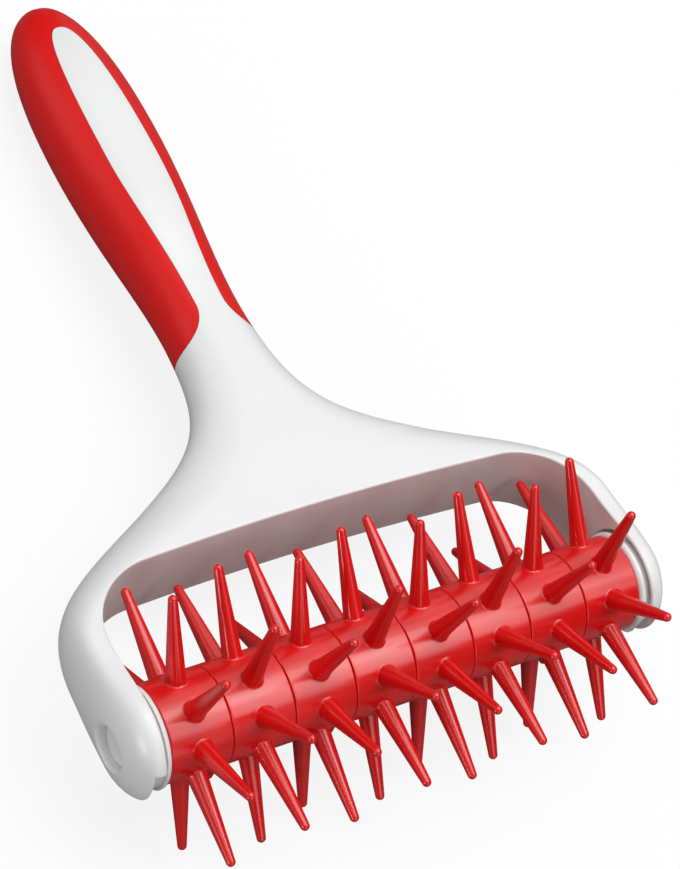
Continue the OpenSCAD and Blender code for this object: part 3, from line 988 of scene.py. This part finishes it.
def worktop(stage):
    """A pale laminate floor that keeps the shadow.

    It is white to camera rays alone. The object has no metal or glass, and a white surround in its gloss
    would wash out the reds, so glossy rays get the same grey bounce as diffuse ones.
    """
    shape = bmesh.new()
    bmesh.ops.create_grid(shape, x_segments=1, y_segments=1, size=FLOOR_HALF)
    floor = as_object(shape, "floor")
    material = bpy.data.materials.new("Worktop_white_laminate")
    material.use_nodes = True
    tree = material.node_tree
    tree.nodes.clear()
    place = add_node(tree, "ShaderNodeTexCoord").outputs["Object"]
    mottle = add_node(tree, "ShaderNodeTexNoise", inputs={"Vector": place, "Scale": 1 / MOTTLE})
    tint = add_node(
        tree,
        "ShaderNodeMix",
        {"data_type": "RGBA"},
        {"Factor": mottle.outputs["Fac"], "A": linear(stage.floor), "B": linear("#FFFFFF")},
    )
    lit = add_node(
        tree,
        "ShaderNodeBsdfPrincipled",
        inputs={"Base Color": tint.outputs["Result"], "Roughness": 0.8},
    )
    white = add_node(tree, "ShaderNodeEmission", inputs={"Color": (1, 1, 1, 1), "Strength": 1.0})
    seen = add_node(
        tree,
        "ShaderNodeMixShader",
        inputs={0: stage.shadow, 1: white.outputs["Emission"], 2: lit.outputs["BSDF"]},
    )
    bounced = add_node(tree, "ShaderNodeBsdfDiffuse", inputs={"Color": linear(stage.floor_bounce)})
    ray = add_node(tree, "ShaderNodeLightPath").outputs["Is Camera Ray"]
    surface = add_node(
        tree,
        "ShaderNodeMixShader",
        inputs={0: ray, 1: bounced.outputs["BSDF"], 2: seen.outputs["Shader"]},
    )
    add_node(tree, "ShaderNodeOutputMaterial", inputs={"Surface": surface.outputs["Shader"]})
    floor.data.materials.append(material)


def studio_walls(stage):
    """White to the camera, and as dim as the studio's walls to every other ray, glossy ones too."""
    world = bpy.data.worlds.new("studio")
    world.use_nodes = True
    tree = world.node_tree
    tree.nodes.clear()
    ray = add_node(tree, "ShaderNodeLightPath").outputs["Is Camera Ray"]
    strength = add_node(
        tree,
        "ShaderNodeMapRange",
        inputs={"Value": ray, "To Min": stage.studio, "To Max": 1.0},
    )
    back = add_node(
        tree,
        "ShaderNodeBackground",
        inputs={"Color": (1, 1, 1, 1), "Strength": strength.outputs["Result"]},
    )
    add_node(tree, "ShaderNodeOutputWorld", inputs={"Surface": back.outputs["Background"]})
    bpy.context.scene.world = world


def softbox(stage, number, azimuth, height, side, watts):
    """A square lamp that looks at the middle of the object from that direction."""
    data = bpy.data.lights.new(f"softbox_{number}", "AREA")
    data.size = side
    data.energy = watts
    lamp = bpy.data.objects.new(data.name, data)
    bpy.context.scene.collection.objects.link(lamp)
    a, h = math.radians(azimuth), math.radians(height)
    way = Vector((math.cos(h) * math.cos(a), math.cos(h) * math.sin(a), math.sin(h)))
    lamp.location = Vector(MIDDLE) + stage.softbox_way * way
    lamp.rotation_mode = "QUATERNION"
    lamp.rotation_quaternion = way.to_track_quat("Z", "Y")


class DOCKER_OT_stage(bpy.types.Operator):
    """Pale floor, soft studio light and the camera at the photograph's angle"""

    bl_idname = "docker.stage"
    bl_label = "Set the stage"

    def execute(self, context):
        scene = context.scene
        stage = scene.docker_stage
        worktop(stage)
        studio_walls(stage)
        for number, box in enumerate(SOFTBOXES):
            softbox(stage, number, *box)
        data = bpy.data.cameras.new("photo_camera")
        data.lens = stage.lens
        data.clip_start = 10 * MM
        camera = bpy.data.objects.new("photo_camera", data)
        scene.collection.objects.link(camera)
        turn = Euler(stage.camera_turn).to_matrix().to_4x4()
        camera.matrix_world = Moulding(scene).to_world() @ Matrix.Translation(stage.camera_place) @ turn
        scene.camera = camera
        scene.view_settings.view_transform = "Standard"
        return {"FINISHED"}


OPERATORS = (DOCKER_OT_moulding, DOCKER_OT_grip, DOCKER_OT_rings, DOCKER_OT_caps, DOCKER_OT_stage)


class DOCKER_PT_panel(bpy.types.Panel):
    """Lists the docker's pieces and its settings"""

    bl_idname = "DOCKER_PT_panel"
    bl_label = "Dough docker"
    bl_space_type = "VIEW_3D"
    bl_region_type = "UI"
    bl_category = "Docker"

    def draw(self, context):
        for name in GROUPS:
            group = getattr(context.scene, name)
            for key in group.__annotations__:
                self.layout.prop(group, key)
        for operator in OPERATORS:
            self.layout.operator(operator.bl_idname)


GROUPS = {
    "docker_roller": DOCKER_PG_roller,
    "docker_moulding": DOCKER_PG_moulding,
    "docker_colours": DOCKER_PG_colours,
    "docker_stage": DOCKER_PG_stage,
}
CLASSES = tuple(GROUPS.values()) + OPERATORS + (DOCKER_PT_panel,)


def register():
    """Registers the classes and gives the scene its settings."""
    for cls in CLASSES:
        bpy.utils.register_class(cls)
    for name, group in GROUPS.items():
        setattr(bpy.types.Scene, name, bpy.props.PointerProperty(type=group))


def unregister():
    """Undoes register()."""
    for name in GROUPS:
        delattr(bpy.types.Scene, name)
    for cls in reversed(CLASSES):
        bpy.utils.unregister_class(cls)


def main():
    """Builds the whole scene."""
    register()
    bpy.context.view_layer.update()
    bpy.ops.docker.moulding()
    bpy.ops.docker.grip()
    bpy.ops.docker.rings()
    bpy.ops.docker.caps()
    bpy.ops.docker.stage()


if __name__ == "__main__":
    main()
